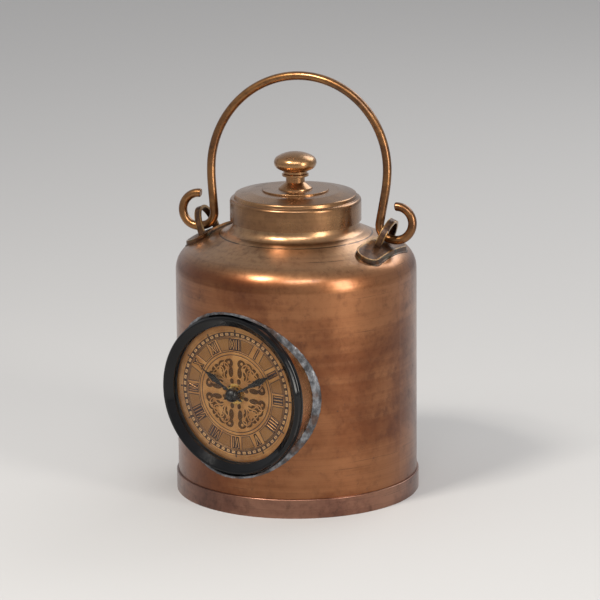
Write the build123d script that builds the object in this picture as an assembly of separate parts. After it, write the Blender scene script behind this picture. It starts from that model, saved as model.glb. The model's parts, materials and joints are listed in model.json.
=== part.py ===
from build123d import *
import math
import os

# Frame: the pot stands on z = 0 about the Z axis, and the clock faces -Y. Sizes are in millimetres.

# Small gaps between pieces that are soldered, pressed or screwed together, and between moving pieces
film_gap = 0.04
running_gap = 0.05
seat_gap = 0.15

# Pot body
wall_r = 81.2
wall_thickness = 1.2
wall_foot_z = 1.1
shoulder_slope = 24.1
shoulder_start_z = 162.8
shoulder_round = 16.7
neck_r = 42.2
neck_flare = 7.2
neck_height = 16.7544
neck_foot_z = shoulder_start_z + (wall_r - neck_r) * math.tan(math.radians(shoulder_slope))
neck_top_z = neck_foot_z + neck_height
rim_wire_r = 0.7

# Base ring and bottom plate
base_ring_wall = 1.26
base_ring_r = wall_r + film_gap + base_ring_wall
base_ring_height = 12.9
base_ring_edge = 0.6
base_lip_width = 3.9
base_lip_thickness = 1.0
bottom_plate_z = 3.0
bottom_flange = 1.2

# Clock opening, collar and solder; the collar's front edge lies behind the wall's foremost line
clock_z = 81.0
collar_r = 52.5
collar_wall = 1.5
collar_set_back = 4.0
collar_front_y = collar_set_back - wall_r
opening_gap = 2.6
opening_r = collar_r + opening_gap
bead_cover = 1.3
bead_r = opening_r + bead_cover
bead_height = 0.9
bead_depth = 7.0
bead_overhang = 0.23
bead_back_y = bead_overhang - math.sqrt(wall_r ** 2 - bead_r ** 2)
collar_tail = 1.0
collar_back_y = bead_back_y + collar_tail
bezel_pocket_gap = 0.5

# Handle lugs: a long round-ended plate on the shoulder, and an arched strap loop on the turned handle axis
plate_axis_turn = 6.0
plate_set_in = 17.2
plate_centre_r = wall_r - plate_set_in
plate_half_length = 28.0
plate_half_width = 7.9
plate_thickness = 2.2
braze_thickness = 0.4
braze_margin = 0.8
lug_axis_turn = 12.0
loop_set_in = 18.2
loop_foot_r = wall_r - loop_set_in
loop_lean = 22.0
loop_half_width = 13.6
loop_height = 16.8
loop_strap = 1.8
loop_width = 4.6
loop_root = 6.0
plate_top = braze_thickness + plate_thickness + 2 * film_gap
loop_foot_z = (shoulder_start_z + loop_set_in * math.tan(math.radians(shoulder_slope))
               + plate_top / math.cos(math.radians(shoulder_slope)))

# Swing handle, bent from one rod, at rest a little behind upright
rod_r = 2.95
bail_axis_rise = 3.1228
bail_axis_z = loop_foot_z + bail_axis_rise
bail_rest_lean = 8.4
bail_side_rise = 42.0
bail_side_z = bail_axis_z + bail_side_rise
bail_half_span = loop_foot_r
bail_crown_reach = 5.6
bail_side_round = bail_half_span - bail_crown_reach
bail_crown_rise = 4.9
bail_apex_z = bail_side_z + bail_side_round + bail_crown_rise
bail_leg_round = 102.5
bail_leg_lean = 7.9
bail_leg_straight = 18.8
bail_bend_r = 8.8
bail_run_drop = 12.7
bail_run_length = 2.5
hook_r = 11.2
hook_turn = 200.0
rod_tip_edge = 0.8

# Lid
lid_wall = 1.0
lid_fit = 1.0
lid_r = neck_r + lid_fit + lid_wall
lid_ledge_z = neck_top_z + film_gap + 2 * rim_wire_r + seat_gap
lid_ledge_thickness = 1.91
lid_shoulder_z = lid_ledge_z + lid_ledge_thickness
lid_skirt_height = 15.2
lid_skirt_z = lid_shoulder_z - lid_skirt_height
lid_shoulder_width = 2.6
lid_shoulder_round = 2.34
lid_groove_r = lid_r - lid_shoulder_width
lid_groove_round = 0.2
lid_step_width = 0.7
lid_step_r = lid_groove_r - lid_step_width
lid_step_rise = 2.4
lid_step_z = lid_shoulder_z + lid_step_rise
lid_step_round = 1.3
lid_step_depth = 1.6
lid_dome_width = 10.9
lid_dome_r = lid_step_r - lid_dome_width
lid_dome_rise = 2.2
lid_dome_z = lid_step_z + lid_dome_rise
lid_dome_round = 6.0
lid_crown_rise = 0.2
lid_crown_z = lid_dome_z + lid_crown_rise
lid_disc_r = 22.5
lid_disc_thickness = 1.0
lid_disc_edge = 0.4

# Knob on the lid, with its screw and washer
knob_flange_r = 11.5
knob_flange_height = 0.9
knob_flange_taper = 0.2
knob_cone_r = 7.0
knob_cone_height = 4.1
knob_cone_lip = 0.5
knob_neck_r = 6.4
knob_neck_height = 7.9
knob_ring_r = 9.0
knob_ring_height = 1.3
knob_ring_rise = 0.8
knob_ring_taper = 0.6
knob_throat_r = 8.0
knob_ball_r = 14.3
knob_ball_half_height = 7.2
knob_ball_flank_round = 4.6
knob_ball_rise = 17.75
knob_screw_r = 2.0
knob_screw_depth = 12.0
screw_head_r = 4.0
screw_head_height = 2.6
washer_r = 7.0
washer_thickness = 0.8

# Bezel and lens
bezel_overhang = 2.0
bezel_r = collar_r + bezel_overhang
bezel_seat_gap = 0.1
bezel_back_y = collar_front_y - bezel_seat_gap
bezel_depth = 6.2
bezel_front_y = bezel_back_y - bezel_depth
bezel_edge = 0.7
bezel_band = 1.2
bezel_chamfer = 0.3
bezel_groove = 0.9
bezel_brow = 1.2
bezel_crest_width = 2.5
bezel_crest_r = bezel_r - bezel_crest_width
bezel_crest_out = 0.9
bezel_crest_in = 0.8
bezel_crest_drop = 0.2
bezel_rim_depth = 0.9
bezel_rim_r = bezel_r - bezel_rim_depth
bezel_waist_depth = 0.5
bezel_waist_r = bezel_r - bezel_waist_depth
grip_band_thickness = 0.3
grip_band_fit = 0.3
pan_r = collar_r - collar_wall - grip_band_fit - grip_band_thickness
pan_wall = 1.2
pan_bore_r = pan_r - pan_wall
bezel_seat_width = 0.3
bezel_bore_r = pan_bore_r + bezel_seat_width
lens_fit = 0.5
lens_rim_r = bezel_bore_r - lens_fit
lens_rim_width = 2.6
lens_dome_r = lens_rim_r - lens_rim_width
lens_lip_gap = 0.4
bezel_lip_r = lens_dome_r + lens_lip_gap
bezel_lip_depth = 3.5
bezel_lip_y = bezel_front_y + bezel_lip_depth
bezel_lip_thickness = 0.9
lens_rim_front_y = bezel_lip_y + bezel_lip_thickness
lens_rim_thickness = 2.0
lens_rise = 9.4
lens_crown_y = lens_rim_front_y - lens_rise
lens_thickness = 1.6
gasket_width = 2.4
gasket_inner_r = lens_rim_r - gasket_width
gasket_thickness = 0.6

# Dial, pan and grip band
dial_ring_thickness = 0.68
dial_face_y = lens_rim_front_y + lens_rim_thickness + gasket_thickness + dial_ring_thickness + 3 * film_gap
dial_thickness = 0.8
dial_fit = 0.4
dial_r = pan_bore_r - dial_fit
pan_thickness = 0.7
pan_skirt_length = 11.3
pan_skirt_back_y = bezel_back_y + pan_skirt_length
grip_band_width = 5.0
grip_band_set_back = 3.8
grip_band_front_y = bezel_back_y + grip_band_set_back

# Movement case
case_top = 27.5
case_depth = 16.0
case_wall = 1.0
divider_top = -11.8
bush_r = 3.9
bush_reach = 2.0
bush_front_y = dial_face_y - bush_reach
nut_flats = 10.0
nut_thickness = 1.3
bush_washer_r = 7.0
bush_washer_thickness = 0.4

# Battery and contacts
battery_r = 7.1
battery_length = 49.2
battery_nub_r = 2.7
battery_nub_length = 1.1
battery_room_gap = 0.25
battery_drop = case_wall - divider_top + battery_room_gap + battery_r
case_bottom = -(battery_drop + battery_r + battery_room_gap + case_wall)
contact_thickness = 0.4
contact_height = 9.0
contact_width = 8.0
contact_gap = 0.3
case_end_room = 1.15
case_end = case_wall + contact_thickness + contact_gap + case_end_room
case_width = battery_length + battery_nub_length + 2 * case_end

# Motion work: pinion 12 to wheel 36, then pinion 10 to wheel 40, on one centre distance
motion_distance = 12.0
cannon_teeth = 12
minute_wheel_teeth = 36
minute_pinion_teeth = 10
hour_wheel_teeth = 40
first_module = motion_distance * 2 / (cannon_teeth + minute_wheel_teeth)
second_module = motion_distance * 2 / (minute_pinion_teeth + hour_wheel_teeth)
tooth_addendum = 0.75
tooth_dedendum = 1.15
tooth_root_share = 0.52
tooth_pitch_share = 0.36
tooth_tip_share = 0.16
hour_pipe_r = 2.5
minute_arbor_r = 1.65
minute_pivot_r = 1.2
hour_wheel_room = 0.42
hour_wheel_thickness = 1.1
pan_back_y = dial_face_y + dial_thickness + film_gap + pan_thickness
hour_wheel_front_y = pan_back_y + film_gap + case_wall + hour_wheel_room
hour_wheel_back_y = hour_wheel_front_y + hour_wheel_thickness
cannon_gap = 0.4
cannon_width = 1.6
cannon_back_y = hour_wheel_back_y + cannon_gap + cannon_width
cannon_root = 0.5
minute_wheel_thickness = 1.0
setting_pivot_r = 1.0
setting_shaft_r = 1.5
pivot_depth = 0.6
set_knob_r = 5.5
set_knob_width = 3.5
set_knob_gap = 0.4
set_knob_bore_depth = 2.45
set_knob_flutes = 20
set_knob_flute_r = 0.5

# Hands, from their pivot outwards
hour_hand_clearance = 0.5
hour_hand_back_y = bush_front_y - hour_hand_clearance
hand_thickness = 0.5
hand_spacing = 0.7
hour_hand_turn = 301.0
minute_hand_turn = 61.0
hour_hand_length = 29.0
minute_hand_length = 37.0
hand_boss_r = 4.2
hand_neck_width = 1.7
hand_blade_width = 4.6
hand_tail_length = 8.0
hand_cap_r = 4.7
hand_cap_height = 4.6

# Step motor and circuit board
board_width = 15.0
board_height = 20.0
board_thickness = 1.2
board_gap = 1.5
board_x = case_wall + board_gap + board_width / 2 - case_width / 2
board_rise = 14.0
coil_set_in = 7.0
coil_x = case_width / 2 - case_wall - coil_set_in
coil_rise = 4.0
coil_length = 20.0
coil_r = 3.5
core_r = 1.4
core_pad = 4.0
stator_width = 9.0
stator_trim = 1.0
stator_thickness = 1.0

pot_top_z = 260.0
clock_axis = Axis((0, 0, clock_z), (0, 1, 0))


def turned(outline):
    """Solid of revolution about the pot axis; the outline lies in radius and height."""
    return revolve(Plane.XZ * make_face(outline), Axis.Z)


def turned_points(*points):
    """Solid of revolution about the pot axis from corner points of radius and height."""
    return turned(Polyline(*points, close=True))


def clock_turned(outline):
    """Solid of revolution about the clock axis; the outline lies in radius and depth."""
    return revolve(Pos(0, 0, clock_z) * make_face(outline), clock_axis)


def clock_ring(inner_r, outer_r, front_y, back_y):
    """Plain ring about the clock axis."""
    return clock_turned(Polyline((inner_r, front_y), (outer_r, front_y), (outer_r, back_y), (inner_r, back_y),
                                 close=True))


def clock_disc(radius, front_y, back_y, x=0.0, rise=0.0):
    """Plain disc parallel to the dial, at a place measured from the clock axis."""
    place = Plane(origin=(x, back_y, clock_z + rise), x_dir=(1, 0, 0), z_dir=(0, -1, 0))
    return extrude(place * Circle(radius), amount=back_y - front_y)


def clock_plate(outline, front_y, back_y):
    """Flat piece parallel to the dial; the outline is seen from the front, with x right and y up."""
    place = Plane(origin=(0, back_y, clock_z), x_dir=(1, 0, 0), z_dir=(0, -1, 0))
    return extrude(place * outline, amount=back_y - front_y)


def clock_block(x_low, x_high, low, high, front_y, back_y):
    """Box parallel to the dial, with heights measured from the clock axis."""
    centre = Pos((x_low + x_high) / 2, (front_y + back_y) / 2, clock_z + (low + high) / 2)
    return centre * Box(x_high - x_low, back_y - front_y, high - low)


def pot_solid(growth, bottom_z, top_z=pot_top_z):
    """Filled shape of wall, shoulder and neck, grown outwards by a wall's thickness or shrunk."""
    slope = math.radians(shoulder_slope)
    side_r = wall_r + growth
    throat_r = neck_r + growth
    line_z = shoulder_start_z + growth / math.cos(slope)
    low_corner = (side_r, line_z - growth * math.tan(slope))
    high_corner = (throat_r, low_corner[1] + (side_r - throat_r) * math.tan(slope))
    side = FilletPolyline((side_r, bottom_z), low_corner, high_corner, (throat_r, top_z),
                          radius=[shoulder_round + growth, neck_flare - growth])
    core = Polyline((throat_r, top_z), (0, top_z), (0, bottom_z), (side_r, bottom_z))
    return turned(side + core)


def make_can_shell():
    outer = pot_solid(0, wall_foot_z, neck_top_z)
    inner = pot_solid(-wall_thickness, 0, neck_top_z + 1)
    opening = clock_disc(opening_r, -wall_r - 10, 0)
    return outer - inner - opening


def make_base_ring():
    inside_r = wall_r + film_gap
    lip_r = base_ring_r - base_lip_width
    ring = turned_points((lip_r, 0), (base_ring_r, 0), (base_ring_r, base_ring_height),
                         (inside_r, base_ring_height), (inside_r, base_lip_thickness),
                         (lip_r, base_lip_thickness))
    top_edge = ring.edges().group_by(Axis.Z)[-1].sort_by(SortBy.LENGTH)[-1]
    return fillet(top_edge, base_ring_edge)


def make_bottom_plate():
    plate_r = wall_r - wall_thickness - film_gap
    top = bottom_plate_z + bottom_flange
    return turned_points((0, bottom_plate_z), (plate_r - bottom_flange, bottom_plate_z),
                         (plate_r - bottom_flange, wall_foot_z), (plate_r, wall_foot_z), (plate_r, top), (0, top))


def make_neck_rim():
    rim_r = neck_r - wall_thickness / 2
    low = neck_top_z + film_gap
    half = wall_thickness / 2 + rim_wire_r / 2
    return turned_points((rim_r - half, low), (rim_r + half, low), (rim_r + half, low + rim_wire_r),
                         (rim_r + half / 2, low + 2 * rim_wire_r), (rim_r - half / 2, low + 2 * rim_wire_r),
                         (rim_r - half, low + rim_wire_r))


def make_clock_collar():
    return clock_ring(collar_r - collar_wall, collar_r, collar_front_y, collar_back_y)


def make_solder_bead():
    front = -wall_r - 10
    inner_r = collar_r + film_gap
    bead = clock_ring(inner_r, bead_r, front, bead_back_y) & pot_solid(bead_height, 0)
    bead -= pot_solid(-bead_depth, 0)
    bead -= clock_ring(opening_r - film_gap, bead_r + 1, front, bead_back_y + 1) & pot_solid(film_gap, -1)
    return bead - clock_disc(bezel_r + bezel_pocket_gap, front, bezel_back_y + bezel_pocket_gap)


def shoulder_layer(low, high, margin):
    """Part of a skin on the right shoulder, with round ends when seen from above."""
    skin = pot_solid(high, 0) - pot_solid(low, -1)
    outline = SlotOverall(2 * (plate_half_length + margin), 2 * (plate_half_width + margin), rotation=90)
    cutter = Pos(plate_centre_r, 0, neck_top_z / 2) * extrude(outline, neck_top_z / 2)
    return skin & cutter


def make_lug_braze():
    return shoulder_layer(film_gap, braze_thickness, braze_margin)


def make_lug_plate():
    low = braze_thickness + film_gap
    return shoulder_layer(low, low + plate_thickness, 0)


def make_lug_loop():
    lean = math.radians(loop_lean)
    outward = (math.cos(lean), 0, -math.sin(lean))
    place = Plane(origin=(loop_foot_r, 0, loop_foot_z), x_dir=(0, 1, 0), z_dir=outward)
    inner_half = loop_half_width - loop_strap
    outer = Ellipse(loop_half_width, loop_height)
    outer += Pos(0, -loop_root) * Rectangle(2 * loop_half_width, 2 * loop_root)
    inner = Ellipse(inner_half, loop_height - loop_strap)
    inner += Pos(0, -loop_root) * Rectangle(2 * inner_half, 3 * loop_root)
    lower_cut = Pos(0, -loop_height - loop_root) * Rectangle(4 * loop_half_width, 2 * loop_height)
    strap = extrude(place * (outer - inner - lower_cut), amount=loop_width / 2, both=True)
    return strap - pot_solid(plate_top, 0)


def to_side(shape, left, turn):
    """Place a right-hand lug piece on its side of an axis that is turned from X."""
    sided = mirror(shape, Plane.YZ) if left else shape
    return Rot(0, 0, turn) * sided


def bail_half_path():
    """Centre line from the crown of the handle to the tip of its right-hand hook."""
    height = bail_apex_z - bail_side_z
    reach = bail_half_span - bail_side_round
    crown_r = (reach ** 2 + height ** 2 - bail_side_round ** 2) / (2 * (height - bail_side_round))
    crown_turn = math.degrees(math.asin(reach / (crown_r - bail_side_round)))
    crown = JernArc((0, bail_apex_z), (1, 0), crown_r, -crown_turn)
    side = JernArc(crown @ 1, crown % 1, bail_side_round, crown_turn - 90)
    leg = JernArc(side @ 1, side % 1, bail_leg_round, -bail_leg_lean)
    straight = Line(leg @ 1, leg @ 1 + (leg % 1) * bail_leg_straight)
    bend = JernArc(straight @ 1, straight % 1, bail_bend_r, 90 + bail_leg_lean - bail_run_drop)
    run = Line(bend @ 1, bend @ 1 + (bend % 1) * bail_run_length)
    hook = JernArc(run @ 1, run % 1, hook_r, hook_turn)
    return Plane.XZ * Wire([crown, side, leg, straight, bend, run, hook])


def make_bail():
    path = bail_half_path()
    section = Plane(origin=path @ 0, z_dir=path % 0) * Circle(rod_r)
    half = sweep(section, path=path)
    tip_face = half.faces().sort_by_distance(path @ 1)[0]
    half = fillet(tip_face.edges(), rod_tip_edge)
    upright = half + mirror(half, Plane.YZ)
    swing_axis = Axis((0, 0, bail_axis_z), (1, 0, 0))
    return Rot(0, 0, lug_axis_turn) * upright.rotate(swing_axis, -bail_rest_lean)


def make_lid_shell():
    skin = FilletPolyline((lid_r, lid_skirt_z), (lid_r, lid_shoulder_z), (lid_groove_r, lid_shoulder_z),
                          (lid_step_r, lid_step_z), (lid_dome_r, lid_dome_z), (lid_disc_r, lid_crown_z),
                          radius=[lid_shoulder_round, lid_groove_round, lid_step_round, lid_dome_round])
    core = Polyline((lid_disc_r, lid_crown_z), (0, lid_crown_z), (0, lid_skirt_z), (lid_r, lid_skirt_z))
    inner_r = lid_r - lid_wall
    step_r = lid_step_r - lid_wall
    hollow = turned_points((0, lid_skirt_z - 1), (inner_r, lid_skirt_z - 1), (inner_r, lid_ledge_z),
                           (step_r, lid_ledge_z), (step_r, lid_step_z - lid_step_depth),
                           (lid_dome_r, lid_dome_z - lid_wall),
                           (lid_disc_r, lid_crown_z - lid_wall), (0, lid_crown_z - lid_wall))
    screw_hole = Pos(0, 0, lid_crown_z) * Cylinder(knob_screw_r + film_gap, 10)
    return turned(skin + core) - hollow - screw_hole


def make_lid_disc():
    low = lid_crown_z + film_gap
    disc = turned_points((knob_screw_r + film_gap, low), (lid_disc_r, low),
                         (lid_disc_r, low + lid_disc_thickness), (knob_screw_r + film_gap, low + lid_disc_thickness))
    edge = disc.edges().group_by(Axis.Z)[-1].sort_by(SortBy.LENGTH)[-1]
    return fillet(edge, lid_disc_edge)


def knob_foot_z():
    """Height of the knob's underside on the disc."""
    return lid_crown_z + lid_disc_thickness + 2 * film_gap


def make_knob():
    foot = knob_foot_z()
    ring_z = foot + knob_neck_height + knob_ring_rise
    ball_z = foot + knob_ball_rise
    flank = knob_ball_r - knob_ball_flank_round
    crown_r = ((flank ** 2 + knob_ball_half_height ** 2 - knob_ball_flank_round ** 2)
               / (2 * (knob_ball_half_height - knob_ball_flank_round)))
    crown_turn = math.degrees(math.asin(flank / (crown_r - knob_ball_flank_round)))
    under_turn = crown_turn - math.degrees(math.asin(knob_throat_r / crown_r))
    crown = JernArc((0, ball_z + knob_ball_half_height), (1, 0), crown_r, -crown_turn)
    side = JernArc(crown @ 1, crown % 1, knob_ball_flank_round, 2 * crown_turn - 180)
    under = JernArc(side @ 1, side % 1, crown_r, -under_turn)
    stem = Polyline((0, foot), (knob_flange_r, foot),
                    (knob_flange_r - knob_flange_taper, foot + knob_flange_height),
                    (knob_cone_r, foot + knob_cone_height),
                    (knob_neck_r, foot + knob_cone_height + knob_cone_lip),
                    (knob_neck_r, foot + knob_neck_height), (knob_ring_r, ring_z),
                    (knob_ring_r, ring_z + knob_ring_height),
                    (knob_throat_r, ring_z + knob_ring_height + knob_ring_taper),
                    under @ 1)
    core = Line(crown @ 0, (0, foot))
    bore = Pos(0, 0, foot) * Cylinder(knob_screw_r + film_gap, 2 * (knob_screw_depth + film_gap))
    return turned(stem + under + side + crown + core) - bore


def make_knob_screw():
    under = lid_crown_z - lid_wall - washer_thickness - 2 * film_gap
    top = knob_foot_z() + knob_screw_depth
    return turned_points((0, under - screw_head_height), (screw_head_r, under - screw_head_height),
                         (screw_head_r, under), (knob_screw_r, under), (knob_screw_r, top), (0, top))


def make_knob_washer():
    top = lid_crown_z - lid_wall - film_gap
    return turned_points((knob_screw_r + film_gap, top - washer_thickness), (washer_r, top - washer_thickness),
                         (washer_r, top), (knob_screw_r + film_gap, top))


def make_bezel():
    lip_back = lens_rim_front_y - film_gap
    step_r = (bezel_rim_r + bezel_waist_r) / 2
    band_y = bezel_back_y - bezel_edge
    groove_y = band_y - bezel_band - bezel_chamfer
    crest_y = bezel_front_y + bezel_crest_drop
    return clock_turned(Polyline((bezel_bore_r, bezel_back_y), (bezel_rim_r, bezel_back_y), (bezel_r, band_y),
                                 (bezel_r, band_y - bezel_band), (bezel_waist_r, groove_y),
                                 (bezel_waist_r, groove_y - bezel_groove),
                                 (step_r, groove_y - bezel_groove - bezel_chamfer),
                                 (bezel_rim_r, bezel_front_y + bezel_brow),
                                 (bezel_crest_r + bezel_crest_out, crest_y), (bezel_crest_r, bezel_front_y),
                                 (bezel_crest_r - bezel_crest_in, crest_y), (bezel_lip_r, bezel_lip_y),
                                 (bezel_lip_r, lip_back), (bezel_bore_r, lip_back), close=True))


def make_lens():
    sag = lens_rim_front_y - lens_crown_y
    sphere_r = (lens_dome_r ** 2 + sag ** 2) / (2 * sag)
    centre_y = lens_crown_y + sphere_r
    inner_sphere_r = sphere_r - lens_thickness
    back = lens_rim_front_y + lens_rim_thickness

    def on_sphere(radius, y):
        return math.sqrt(radius ** 2 - (centre_y - y) ** 2), y

    half_y = lens_crown_y + sag / 3
    outer = ThreePointArc((0, lens_crown_y), on_sphere(sphere_r, half_y), (lens_dome_r, lens_rim_front_y))
    inner = ThreePointArc((0, lens_crown_y + lens_thickness), on_sphere(inner_sphere_r, half_y + lens_thickness),
                          on_sphere(inner_sphere_r, back))
    rim = Polyline(outer @ 1, (lens_rim_r, lens_rim_front_y), (lens_rim_r, back), inner @ 1)
    return clock_turned(outer + rim + inner + Line(inner @ 0, outer @ 0))


def gasket_back_y():
    """Rear face of the gasket that lies behind the lens."""
    return lens_rim_front_y + lens_rim_thickness + film_gap + gasket_thickness


def make_lens_gasket():
    back = gasket_back_y()
    return clock_ring(gasket_inner_r, lens_rim_r, back - gasket_thickness, back)


def make_dial_ring():
    return clock_ring(gasket_inner_r, lens_rim_r, gasket_back_y() + film_gap, dial_face_y - film_gap)


def dial_back_y():
    """Rear face of the dial."""
    return dial_face_y + dial_thickness


def case_front_y():
    """Front face of the movement case, behind the pan."""
    return dial_back_y() + pan_thickness + 2 * film_gap


def case_back_y():
    """Rear face of the movement case."""
    return case_front_y() + case_depth


def make_dial():
    return clock_ring(bush_r + film_gap, dial_r, dial_face_y, dial_back_y())


def make_clock_pan():
    front = dial_back_y() + film_gap
    skirt_front = bezel_back_y + film_gap
    skirt = clock_ring(pan_bore_r, pan_r, skirt_front, pan_skirt_back_y)
    floor = clock_ring(bush_r + film_gap, (pan_bore_r + pan_r) / 2, front, front + pan_thickness)
    return skirt + floor


def make_grip_band():
    return clock_ring(pan_r + film_gap, pan_r + grip_band_thickness, grip_band_front_y,
                      grip_band_front_y + grip_band_width)


def make_movement_front():
    half = case_width / 2
    front = case_front_y()
    back = case_back_y()
    cover_front = back - case_wall - film_gap
    tray = clock_block(-half, half, case_bottom, case_top, front, back)
    gear_room = clock_block(-half + case_wall, half - case_wall, divider_top, case_top - case_wall,
                            front + case_wall, back + 1)
    battery_room = clock_block(-half + case_wall, half - case_wall, case_bottom + case_wall,
                               divider_top - case_wall, front + case_wall, back + 1)
    cover_seat = clock_block(-half - 1, half + 1, divider_top - case_wall, case_top + 1, cover_front, back + 1)
    pivot = clock_disc(setting_pivot_r + running_gap, front + case_wall - pivot_depth - running_gap,
                       front + case_wall + 1, rise=motion_distance)
    bush_hole = clock_disc(bush_r + film_gap, front - 1, front + case_wall + 1)
    return tray - gear_room - battery_room - cover_seat - pivot - bush_hole


def make_movement_back():
    half = case_width / 2
    back = case_back_y()
    front = back - case_wall
    cover = clock_block(-half, half, divider_top - case_wall + film_gap, case_top, front, back)
    cover -= clock_disc(minute_pivot_r + running_gap, front - 1, front + pivot_depth + running_gap)
    return cover - clock_disc(setting_shaft_r + running_gap, front - 1, back + 1, rise=motion_distance)


def make_threaded_bush():
    return clock_ring(hour_pipe_r + running_gap, bush_r, bush_front_y, case_front_y() + case_wall)


def make_bush_washer():
    back = dial_face_y - film_gap
    return clock_ring(bush_r + film_gap, bush_washer_r, back - bush_washer_thickness, back)


def make_bush_nut():
    back = dial_face_y - bush_washer_thickness - 2 * film_gap
    outline = RegularPolygon(nut_flats / 2, 6, major_radius=False) - Circle(bush_r + film_gap)
    return clock_plate(outline, back - nut_thickness, back)


def battery_centre_y():
    """Depth of the battery's axis: it lies just clear of the front wall of its room."""
    return case_front_y() + case_wall + contact_gap + battery_r


def make_battery():
    place = Plane(origin=(-battery_length / 2, battery_centre_y(), clock_z - battery_drop), z_dir=(1, 0, 0))
    can = extrude(place * Circle(battery_r), battery_length)
    return can + extrude(place * Circle(battery_nub_r), battery_length + battery_nub_length)


def make_contact(plus):
    side = 1 if plus else -1
    wall_x = case_width / 2 - case_wall - film_gap
    end_x = battery_length / 2 + (battery_nub_length if plus else 0) + contact_gap
    centre_y = battery_centre_y()
    low = -battery_drop - contact_height / 2
    x_pair = sorted((side * wall_x, side * (wall_x - contact_thickness)))
    plate = clock_block(x_pair[0], x_pair[1], low, low + contact_height,
                        centre_y - contact_width / 2, centre_y + contact_width / 2)
    place = Plane(origin=(side * end_x, centre_y, clock_z - battery_drop), z_dir=(side, 0, 0))
    return plate + extrude(place * Circle(battery_nub_r), wall_x - contact_thickness / 2 - end_x)


def gear_outline(teeth, module, turn):
    """Toothed outline with narrow teeth for free running, turned by a share of one tooth."""
    pitch_r = teeth * module / 2
    step = 2 * math.pi / teeth
    levels = [(pitch_r - tooth_dedendum * module, -tooth_root_share), (pitch_r, -tooth_pitch_share),
              (pitch_r + tooth_addendum * module, -tooth_tip_share)]
    levels += [(radius, -share) for radius, share in reversed(levels)]
    points = []
    for tooth in range(teeth):
        for radius, share in levels:
            angle = (tooth + turn + share / 2) * step
            points.append((radius * math.cos(angle), radius * math.sin(angle)))
    return make_face(Polyline(*points, close=True))


def make_minute_arbor():
    minute_front = hour_hand_back_y - 2 * hand_thickness - hand_spacing
    arbor_front = minute_front - hand_cap_height / 2
    cannon_front = cannon_back_y - cannon_width
    cover_front = case_back_y() - case_wall
    rod = clock_disc(minute_arbor_r, arbor_front, cannon_back_y)
    rear = clock_disc(minute_pivot_r, cannon_back_y - cannon_root, cover_front + pivot_depth)
    pinion = clock_plate(gear_outline(cannon_teeth, first_module, 0), cannon_front, cannon_back_y)
    return rod + pinion + rear


def make_hour_wheel():
    wheel = clock_plate(gear_outline(hour_wheel_teeth, second_module, 0), hour_wheel_front_y, hour_wheel_back_y)
    pipe = clock_disc(hour_pipe_r, hour_hand_back_y - hand_thickness, hour_wheel_back_y)
    bore = clock_disc(minute_arbor_r + running_gap, hour_hand_back_y - 2, hour_wheel_back_y + 1)
    return wheel + pipe - bore


def make_minute_wheel():
    wheel_front = cannon_back_y - (cannon_width + minute_wheel_thickness) / 2
    wheel_back = wheel_front + minute_wheel_thickness
    pinion_front = case_front_y() + case_wall + running_gap
    case_inside = case_front_y() + case_wall
    wheel = clock_plate(Pos(0, motion_distance) * gear_outline(minute_wheel_teeth, first_module, 0.5),
                        wheel_front, wheel_back)
    pinion = clock_plate(Pos(0, motion_distance) * gear_outline(minute_pinion_teeth, second_module, 0),
                         pinion_front, wheel_front)
    pivot = clock_disc(setting_pivot_r, case_inside - pivot_depth, wheel_front, rise=motion_distance)
    shaft = clock_disc(setting_shaft_r, wheel_front, case_back_y() + set_knob_gap + set_knob_bore_depth,
                       rise=motion_distance)
    return wheel + pinion + pivot + shaft


def make_set_knob():
    front = case_back_y() + set_knob_gap
    outline = Circle(set_knob_r)
    for flute in range(set_knob_flutes):
        angle = 2 * math.pi * flute / set_knob_flutes
        outline -= Pos(set_knob_r * math.cos(angle), set_knob_r * math.sin(angle)) * Circle(set_knob_flute_r)
    knob = clock_plate(Pos(0, motion_distance) * outline, front, front + set_knob_width)
    return knob - clock_disc(setting_shaft_r + film_gap, front - 1, front + set_knob_bore_depth + film_gap,
                             rise=motion_distance)


def hand_outline(length, bore_r):
    """Slender leaf-shaped hand that points up, with a round boss, a waist and a short tail."""
    neck = hand_neck_width / 2
    blade = hand_blade_width / 2
    right = [(neck, 0), (neck, length * 0.40), (blade * 0.7, length * 0.52), (blade, length * 0.64),
             (blade * 0.62, length * 0.76), (neck * 0.5, length * 0.86), (0.15, length)]
    left = [(-x, y) for x, y in reversed(right)]
    tail = [(-neck, -hand_tail_length * 0.8), (0, -hand_tail_length), (neck, -hand_tail_length * 0.8)]
    outline = make_face(Polyline(*(right + left + tail), close=True)) + Circle(hand_boss_r)
    return outline - Circle(bore_r)


def make_hour_hand():
    outline = hand_outline(hour_hand_length, hour_pipe_r + film_gap)
    hand = clock_plate(outline, hour_hand_back_y - hand_thickness, hour_hand_back_y)
    return hand.rotate(clock_axis, hour_hand_turn)


def minute_hand_back_y():
    """Rear face of the minute hand, clear of the hour hand."""
    return hour_hand_back_y - hand_thickness - hand_spacing


def make_minute_hand():
    outline = hand_outline(minute_hand_length, minute_arbor_r + film_gap)
    hand = clock_plate(outline, minute_hand_back_y() - hand_thickness, minute_hand_back_y())
    return hand.rotate(clock_axis, minute_hand_turn)


def make_hand_cap():
    back = minute_hand_back_y() - hand_thickness - film_gap
    dome = EllipticalCenterArc((0, back), hand_cap_r, hand_cap_height, -90, arc_size=90)
    cap = clock_turned(dome + Polyline(dome @ 1, (0, back), dome @ 0))
    return cap - clock_disc(minute_arbor_r + film_gap, back - hand_cap_height / 2 - film_gap, back + 1)


def make_circuit_board():
    back = case_back_y() - case_wall - 2 * film_gap
    low = board_rise - board_height / 2
    return clock_block(board_x - board_width / 2, board_x + board_width / 2, low, low + board_height,
                       back - board_thickness, back)


def stator_back_y():
    """Rear face of the stator plate, which lies on the front wall of the case."""
    return case_front_y() + case_wall + film_gap + stator_thickness


def coil_centre_y():
    """Depth of the coil's axis, just clear of the stator."""
    return stator_back_y() + coil_r + running_gap


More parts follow.
